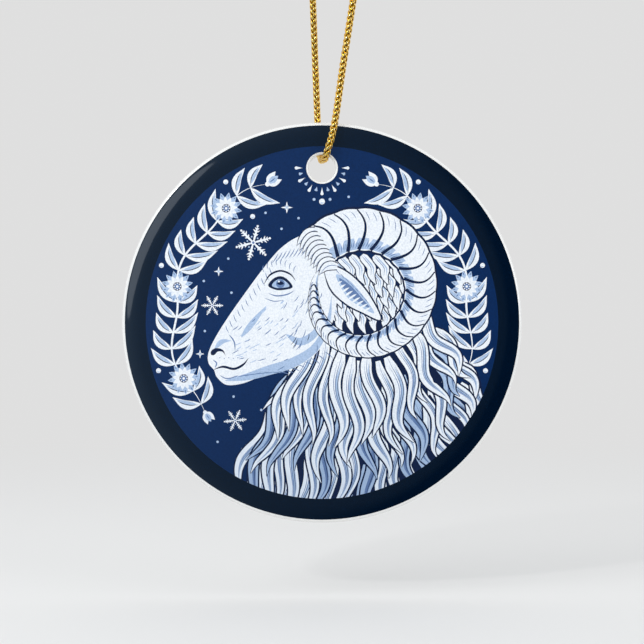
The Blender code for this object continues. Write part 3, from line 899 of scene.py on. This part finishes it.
def make_disc(glaze):
    """The glazed disc: soft shoulder, rounded edges and a rounded hole."""
    deselect_all()
    thickness = back_y - face_y - SHOULDER_DROP
    bpy.ops.mesh.primitive_cylinder_add(
        vertices=DISC_SIDES, radius=disc_radius, depth=thickness,
        location=(disc_x, back_y - thickness / 2, disc_z), rotation=(math.pi / 2, 0.0, 0.0))
    disc = named("glazed_disc")
    settle(disc)
    bpy.ops.object.mode_set(mode="EDIT")
    select_only(disc.data, "faces", lambda face: face.normal.y < -0.9)
    step = SHOULDER_WIDTH / SHOULDER_STEPS
    for k in range(SHOULDER_STEPS):
        before, after = 1 - k / SHOULDER_STEPS, 1 - (k + 1) / SHOULDER_STEPS
        bpy.ops.mesh.inset(thickness=step, depth=SHOULDER_DROP * (before**2 - after**2))
    bpy.ops.mesh.inset(thickness=BORDER_WIDTH - SHOULDER_WIDTH, depth=0.0)
    for at_front, radius in ((True, FRONT_ROUND), (False, BACK_ROUND)):
        select_only(disc.data, "edges", lambda edge: all(
            from_middle(end.co) > disc_radius - PICK_WITHIN and (end.co.y < 0) == at_front
            for end in edge.verts))
        bpy.ops.mesh.bevel(offset=radius, segments=EDGE_STEPS, affect="EDGES")
    bpy.ops.object.mode_set(mode="OBJECT")
    cut_hole(disc)
    only(disc)
    bpy.ops.object.shade_smooth_by_angle(angle=SMOOTH_UP_TO)
    weighted = disc.modifiers.new("flat_back", "WEIGHTED_NORMAL")
    weighted.keep_sharp = True
    apply_modifier(disc, weighted)
    made_of(disc, glaze)
    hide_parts("ceramic_disc")
    return disc


def cut_hole(disc):
    deselect_all()
    bpy.ops.mesh.primitive_cylinder_add(
        vertices=HOLE_SIDES, radius=HOLE_RADIUS, depth=4 * (back_y - face_y),
        location=(disc_x, 0.0, hole_z), rotation=(math.pi / 2, 0.0, 0.0))
    drill = named("drill")
    hole = disc.modifiers.new("hole", "BOOLEAN")
    hole.operation = "DIFFERENCE"
    hole.solver = "EXACT"
    hole.object = drill
    apply_modifier(disc, hole)
    bpy.data.objects.remove(drill, do_unlink=True)
    only(disc)
    bpy.ops.object.mode_set(mode="EDIT")
    select_only(disc.data, "edges", lambda edge: all(
        from_hole(end.co) < HOLE_RADIUS + PICK_WITHIN for end in edge.verts)
        and abs(edge.verts[0].co.y - edge.verts[1].co.y) < PICK_WITHIN)
    bpy.ops.mesh.bevel(offset=HOLE_ROUND, segments=HOLE_EDGE_STEPS, affect="EDGES")
    bpy.ops.object.mode_set(mode="OBJECT")


def print_border(disc, ink):
    """The dark border: a skin over the disc's flat rim and shoulder."""
    only(disc)
    bpy.ops.object.duplicate()
    border = named("print_border")
    for stale in [key for key in border.keys() if key.startswith("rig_")]:
        del border[stale]
    inner, outer = field_radius, disc_radius - UNPRINTED_EDGE
    bpy.ops.object.mode_set(mode="EDIT")
    select_only(border.data, "faces", lambda face: not (
        face.normal.y < -0.5 and inner < from_middle(face.calc_center_median()) < outer
        and len(face.verts) == 4))
    bpy.ops.mesh.delete(type="FACE")
    bpy.ops.object.mode_set(mode="OBJECT")
    bpy.ops.mesh.customdata_custom_splitnormals_clear()
    skin = border.modifiers.new("ink", "SOLIDIFY")
    skin.thickness = INK_THICKNESS
    skin.offset = 0.0
    apply_modifier(border, skin)
    bpy.ops.object.shade_smooth_by_angle(angle=SMOOTH_UP_TO)
    made_of(border, ink)


def flat_layer(name, shape, ink):
    """A thin layer of ink from flat faces: its outside just proud of the face, its back just under it."""
    backs = bmesh.ops.extrude_face_region(shape, geom=shape.faces[:], use_keep_orig=True)["geom"]
    corners = [part for part in backs if isinstance(part, bmesh.types.BMVert)]
    bmesh.ops.translate(shape, verts=corners, vec=(0.0, INK_THICKNESS, 0.0))
    bmesh.ops.recalc_face_normals(shape, faces=shape.faces[:])
    layer = piece_from(name, shape)
    made_of(layer, ink)


def print_field(inks):
    """The round field of the print, each ink its own layer, with no layer lying over another."""
    unit = field_radius / DESIGN_RADIUS
    draw_design((hole_z - disc_z) / unit)
    outlines = [circle(0.0, 0.0, DESIGN_RADIUS, DISC_SIDES)]
    outlines.append(circle(0.0, (hole_z - disc_z) / unit, (HOLE_RADIUS + HOLE_ROUND) / unit, HOLE_SIDES))
    outlines += [anticlockwise(outline) for outline, _ in printed]
    order = [FIELD, None] + [ink for _, ink in printed]
    field_outline, hole_outline = 0, 1
    points, faces = [], []
    for outline in outlines:
        faces.append(list(range(len(points), len(points) + len(outline))))
        points += outline
    places, _, triangles, _, _, sources = delaunay_2d_cdt(points, [], faces, 1, ONE_POINT_WITHIN)
    names = list(inks)
    shape = bmesh.new()
    corners = [shape.verts.new((x, 0.0, y)) for x, y in places]
    for triangle, inside in zip(triangles, sources):
        if field_outline in inside and hole_outline not in inside:
            face = shape.faces.new([corners[k] for k in triangle])
            face.material_index = names.index(order[max(inside)])
    shape.normal_update()
    bmesh.ops.dissolve_limit(shape, angle_limit=FLAT_ANGLE, verts=shape.verts[:], edges=shape.edges[:],
                             use_dissolve_boundaries=False, delimit={"MATERIAL"})
    bmesh.ops.triangulate(shape, faces=shape.faces[:])
    to_face = Matrix.Translation((disc_x, face_y - INK_THICKNESS / 2, disc_z)) @ Matrix.Scale(unit, 4)
    shape.transform(to_face)
    for number, name in enumerate(names):
        layer = shape.copy()
        others = [face for face in layer.faces if face.material_index != number]
        bmesh.ops.delete(layer, geom=others, context="FACES")
        loose = [corner for corner in layer.verts if not corner.link_faces]
        bmesh.ops.delete(layer, geom=loose, context="VERTS")
        for face in layer.faces:
            face.material_index = 0
        flat_layer("print_" + name, layer, inks[name])
    shape.free()


# Cord


def frames_along(line):
    """At each point of a line, its direction and two square directions that don't twist along it."""
    points = [Vector(point) for point in line]
    frames = []
    side = Vector((0.0, 1.0, 0.0))
    for k, point in enumerate(points):
        ahead = points[min(k + 1, len(points) - 1)] - points[max(k - 1, 0)]
        ahead.normalize()
        side = (side - ahead * side.dot(ahead)).normalized()
        frames.append((point, ahead, side, ahead.cross(side)))
    return frames


def add_tube(shape, rings, run_map, step, first_v):
    """Adds a closed tube through rings of places, with its length and its way round as UVs."""
    corners = [[shape.verts.new(place) for place in ring] for ring in rings]
    sides = len(rings[0])
    for k, (near, far) in enumerate(zip(corners, corners[1:])):
        for corner in range(sides):
            after = (corner + 1) % sides
            face = shape.faces.new((near[corner], near[after], far[after], far[corner]))
            face.smooth = True
            for loop, u, v in zip(face.loops, (k, k, k + 1, k + 1), (0, 1, 1, 0)):
                loop[run_map].uv = (u * step / MM, first_v + (corner + v) / sides)
    shape.faces.new(corners[0])
    shape.faces.new(corners[-1][::-1])


def braid(shape, line, diameter):
    """Adds a braid to a bmesh: strands both ways round a core, over two and under two in turn.

    The core and the strands of each way have a stretch of the UV map of their own.
    """
    turns = length_of(line) / BRAID_PITCH
    frames = frames_along(evenly(line, max(int(turns * STATIONS_PER_TURN), 12)))
    size = diameter / CORD_DIAMETER
    middle = (CORD_DIAMETER / 2 - STRAND_DEPTH / 2 - STRAND_WEAVE / 2) * size
    run_map = shape.loops.layers.uv["along_strand"]
    last = len(frames) - 1
    step = length_of(line) / last
    core = []
    for point, _, side, other in frames:
        core.append([point + (side * x + other * y) for x, y in circle(0, 0, CORE_DIAMETER / 2 * size, 8)])
    add_tube(shape, core, run_map, step, -UV_APART)
    for way in (1, -1):
        for strand in range(STRANDS_EACH_WAY):
            centres = []
            for k, (point, _, side, other) in enumerate(frames):
                angle = math.tau * (turns * k / last * way + (strand + 0.25) / STRANDS_EACH_WAY)
                reach = middle - way * STRAND_WEAVE * size * math.sin(2 * angle)
                out = side * math.cos(angle) + other * math.sin(angle)
                centres.append((point + out * reach, out))
            rings = []
            for k, (centre, out) in enumerate(centres):
                ahead = centres[min(k + 1, last)][0] - centres[max(k - 1, 0)][0]
                across = ahead.cross(out).normalized()
                rings.append([
                    centre + across * x * size + out * y * size * STRAND_DEPTH / STRAND_WIDTH
                    for x, y in circle(0, 0, STRAND_WIDTH / 2, STRAND_SIDES)])
            add_tube(shape, rings, run_map, step, 2.0 * strand + (0.0 if way > 0 else UV_APART))


def braided_piece(name, lines, diameter, gold):
    shape = bmesh.new()
    shape.loops.layers.uv.new("along_strand")
    for line in lines:
        braid(shape, line, diameter)
    bmesh.ops.recalc_face_normals(shape, faces=shape.faces[:])
    piece = piece_from(name, shape)
    mark_depth(piece, lines, diameter)
    made_of(piece, gold)
    return piece


def mark_depth(piece, lines, diameter):
    """Writes how far each corner lies from the cord's middle, as a share of the cord's radius, by which the
    gold paints shade down between the strands and light on their backs.
    """
    places = [place for line in lines for place in evenly(line, len(line) * 4)]
    middle_line = KDTree(len(places))
    for number, place in enumerate(places):
        middle_line.insert(place, number)
    middle_line.balance()
    depth = piece.data.attributes.new("depth", "FLOAT", "POINT")
    for corner in piece.data.vertices:
        depth.data[corner.index].value = middle_line.find(corner.co)[2] / (diameter / 2)


def hang_cord(gold):
    route = [tuple(value * MM for value in point) for point in CORD_ROUTE]
    line = smooth_line(route, 12)
    knot = tie_knot(gold)
    cord = braided_piece("braided_loop", [line], CORD_DIAMETER, gold)
    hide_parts("hanging_cord")


def tie_knot(gold):
    """Both ends of the cord side by side through an overhand knot, and out as two spreading tails."""
    middle = Vector(((knot_low[0] + knot_high[0]) / 2, (knot_low[1] + knot_high[1]) / 2, KNOT_MIDDLE * MM))
    turn = smooth_line(KNOT_ROUTE, 8)
    frames = frames_along(turn)
    lines = []
    for side, end in ((-1, CORD_ROUTE[0]), (1, CORD_ROUTE[-1])):
        pair = []
        for k, (point, ahead, _, _) in enumerate(frames):
            beside = Vector((point.y, -point.x, 0.9)).cross(ahead).normalized()
            place = point + beside * side * KNOT_PAIR_GAP / 2
            pair.append(tuple(middle[axis] + place[axis] * MM for axis in range(3)))
        start = tuple(value * MM for value in end)
        root = pair[-1]
        tail = [
            (side * TAIL_ROOT * MM, 0.0, root[2] + 1.3 * MM),
            (side * (TAIL_ROOT + 0.3 * TAIL_SPREAD) * MM, 0.2 * side * MM, (root[2] + TAIL_TOP * MM) / 2),
            (side * (TAIL_ROOT + TAIL_SPREAD) * MM, -0.3 * side * MM, TAIL_TOP * MM),
        ]
        lines.append(smooth_line([start] + pair[3::4] + tail, 6))
    knot = braided_piece("overhand_knot", lines, KNOT_CORD_DIAMETER, gold)
    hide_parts("cord_knot")
    return knot


# Studio

VIEW_WIDTH = 120.0 * MM
LENS = 100.0
SENSOR = 36.0
VIEW_ABOVE_MIDDLE = 0.10 * MM

# Floor, and how far from the crown of the loop it begins to fade into the backdrop and has done so
FLOOR_BELOW = 14 * MM
FLOOR_SIZE = 6.0
FLOOR_FADES = (0.14, 0.45)

# Strengths of the backdrop and of the room's light, and the side, colour and greatest share of the
# glow that the glaze mirrors
BACKDROP = 0.74
ROOM_LIGHT = 0.91
GLOW_TOWARDS = (-1.1, 0.0, 0.35)
GLOW_COLOUR = (0.72, 1.0, 1.25)
GLOW_MOST = 0.60


def set_camera():
    data = bpy.data.cameras.new("camera")
    data.lens = LENS
    data.sensor_width = SENSOR
    camera = added("camera", data)
    camera.location = (disc_x, face_y - VIEW_WIDTH * LENS / SENSOR, disc_z + VIEW_ABOVE_MIDDLE)
    camera.rotation_euler = (math.pi / 2, 0.0, 0.0)
    bpy.context.scene.camera = camera


def softbox(name, power, width, height, place):
    """An area lamp that looks at the middle of the disc; place is from there, in metres."""
    data = bpy.data.lights.new(name, "AREA")
    data.shape = "ELLIPSE"
    data.size, data.size_y = width, height
    data.energy = power
    lamp = added(name, data)
    target = Vector((disc_x, 0.0, disc_z))
    lamp.location = target + Vector(place)
    lamp.rotation_euler = (target - lamp.location).to_track_quat("-Z", "Y").to_euler()
    return lamp


def set_lights():
    softbox("key", 0.70, 0.34, 0.34, (-0.42, -0.40, 0.38))
    softbox("fill", 0.6, 0.30, 0.30, (0.52, -0.38, 0.12))
    softbox("glint", 0.50, 0.05, 0.05, (-0.30, -0.45, 0.26))
    # A tilted lamp that the left of the border mirrors
    rim = softbox("rim_glow", 0.056, 0.08, 0.17, (-0.150, -0.48, 0.080))
    rim.rotation_euler.rotate_axis("Z", math.radians(-30))
    rim.data.color = (0.84, 0.92, 1.0)


def set_world():
    """A pale room. Behind the camera the glaze mirrors no more than a cool glow at the left of it."""
    world = bpy.data.worlds.new("studio")
    bpy.context.scene.world = world
    world.use_nodes = True
    tree = world.node_tree
    tree.nodes.clear()
    rays = tree.nodes.new("ShaderNodeLightPath").outputs
    toward = tree.nodes.new("ShaderNodeTexCoord").outputs["Generated"]
    forward = linked(tree, "ShaderNodeSeparateXYZ", Vector=toward).outputs["Y"]
    behind_camera = ranged(tree, forward, -0.80, -0.20, 1.0, 0.0)
    lean = combined(tree, "ShaderNodeVectorMath", "DOT_PRODUCT", toward, GLOW_TOWARDS)
    glow = ranged(tree, lean.outputs["Value"], -0.20, 0.35, 0.0, GLOW_MOST)
    tinted = blend_colours(tree, glow, (0.0, 0.0, 0.0), GLOW_COLOUR)
    shine = blend_colours(tree, behind_camera, (BACKDROP, BACKDROP, BACKDROP), tinted)
    seen = linked(tree, "ShaderNodeBackground", Color=(1.0, 1.0, 1.0), Strength=BACKDROP)
    mirrored = linked(tree, "ShaderNodeBackground", Color=shine, Strength=1.0)
    room = linked(tree, "ShaderNodeBackground", Color=(0.97, 0.985, 1.0), Strength=ROOM_LIGHT)
    inner = mixed_shader(tree, rays["Is Glossy Ray"], room, mirrored)
    through = combined(
        tree, "ShaderNodeMath", "MAXIMUM", rays["Is Camera Ray"], rays["Is Transmission Ray"])
    outer = mixed_shader(tree, through.outputs[0], inner, seen)
    output = tree.nodes.new("ShaderNodeOutputWorld")
    tree.links.new(outer.outputs[0], output.inputs[0])


def lay_floor():
    """A plain pale floor under the disc, which fades into the backdrop and isn't mirrored in the glaze."""
    deselect_all()
    bpy.ops.mesh.primitive_plane_add(size=FLOOR_SIZE, location=(disc_x, 0.0, disc_low[2] - FLOOR_BELOW))
    floor = named("floor")
    settle(floor)
    material, tree, shader = new_finish("pale_floor")
    feed(tree, shader, Base_Color=(0.79, 0.79, 0.785), Roughness=0.9, Specular_IOR_Level=0.1)
    away = combined(tree, "ShaderNodeVectorMath", "LENGTH", place_of(tree))
    share = ranged(tree, away.outputs["Value"], *FLOOR_FADES, 0.0, 1.0)
    seen = tree.nodes.new("ShaderNodeLightPath").outputs["Is Camera Ray"]
    fade = combined(tree, "ShaderNodeMath", "MULTIPLY", share, seen)
    plain = linked(tree, "ShaderNodeEmission", Color=(1.0, 1.0, 1.0), Strength=BACKDROP)
    mix = mixed_shader(tree, fade.outputs[0], shader, plain)
    tree.links.new(mix.outputs[0], tree.nodes["Material Output"].inputs[0])
    floor.data.materials.append(material)
    floor.visible_glossy = False


def dress_part():
    glaze = white_glaze()
    gold = gold_thread()
    # Each ink gets its own colour, then its colour in the painted shade at the foot of the disc
    border_ink = ink_finish("border_navy", (0.0004, 0.0055, 0.0180), (0.0003, 0.0050, 0.0165), 0.25)
    inks = {
        FIELD: ink_finish("field_navy", (0.0022, 0.0205, 0.092), (0.0020, 0.0160, 0.070), 0.25),
        WHITE: ink_finish("print_white", (0.84, 0.875, 0.92), (0.55, 0.63, 0.74), 0.10),
        PALE: ink_finish("print_pale_blue", (0.42, 0.55, 0.76), (0.26, 0.36, 0.54), 0.15),
        MIDDLE: ink_finish("print_middle_blue", (0.13, 0.215, 0.42), (0.085, 0.145, 0.30), 0.20),
        INK: ink_finish("print_ink", (0.0055, 0.0135, 0.052), (0.0050, 0.0115, 0.045), 0.25),
    }
    disc = make_disc(glaze)
    print_border(disc, border_ink)
    print_field(inks)
    hang_cord(gold)


set_camera()
dress_part()
lay_floor()
set_lights()
set_world()
bpy.context.scene.view_settings.view_transform = "Standard"
